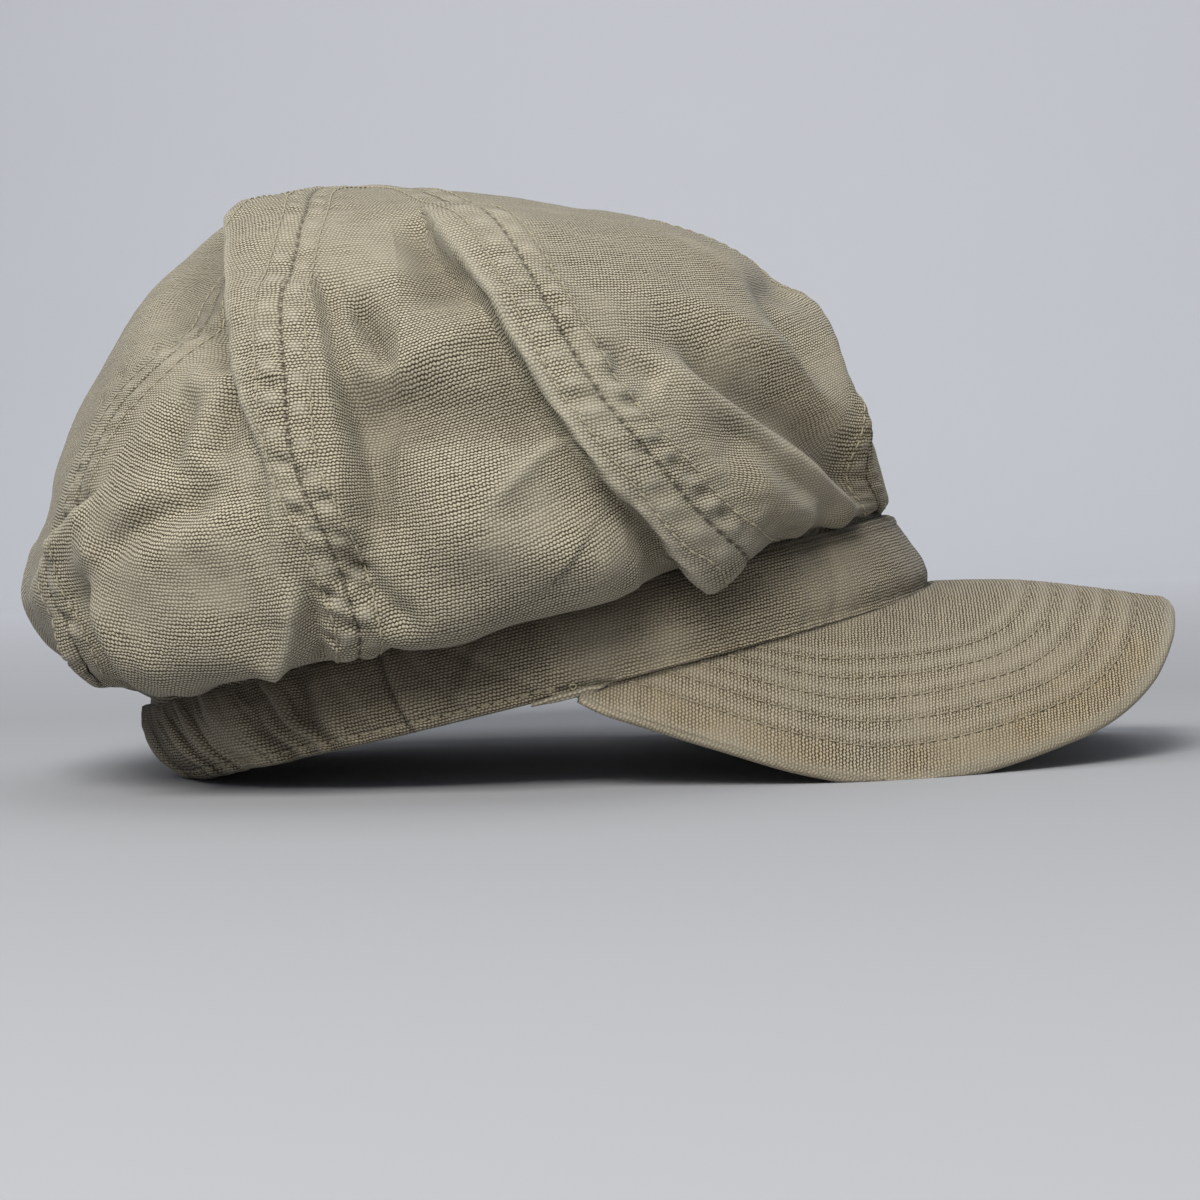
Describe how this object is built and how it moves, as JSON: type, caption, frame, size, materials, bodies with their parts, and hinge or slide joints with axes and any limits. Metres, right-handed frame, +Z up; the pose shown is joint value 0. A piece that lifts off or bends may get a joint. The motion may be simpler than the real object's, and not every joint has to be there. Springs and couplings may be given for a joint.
{
  "type": "cadet cap",
  "caption": "Soft canvas cap with a full panelled crown that puffs out over a narrow sewn headband, and a stitched, arched peak that shades the eyes.",
  "frame": {"origin": "under the middle of the cap's bounding box, on the surface it rests on", "axes": "+X towards the front, where the peak is; +Y to the wearer's left; +Z up"},
  "size_m": [0.2846, 0.2178, 0.1493],
  "materials": {
    "crown_canvas": "coarse plain-weave cotton canvas, faded and creased, matte",
    "band_canvas": "folded canvas strip, gathered at the back, matte",
    "peak_canvas": "canvas over a stiff board with rows of stitching, matte"
  },
  "bodies": {
    "root": {"panel_right_back": "crown_canvas", "panel_right_mid": "crown_canvas", "panel_right_front": "crown_canvas", "panel_front": "crown_canvas", "panel_left_front": "crown_canvas", "panel_left_mid": "crown_canvas", "panel_left_back": "crown_canvas", "panel_back": "crown_canvas", "top_button": "crown_canvas", "band": "band_canvas", "peak": "peak_canvas"}
  },
  "joints": []
}
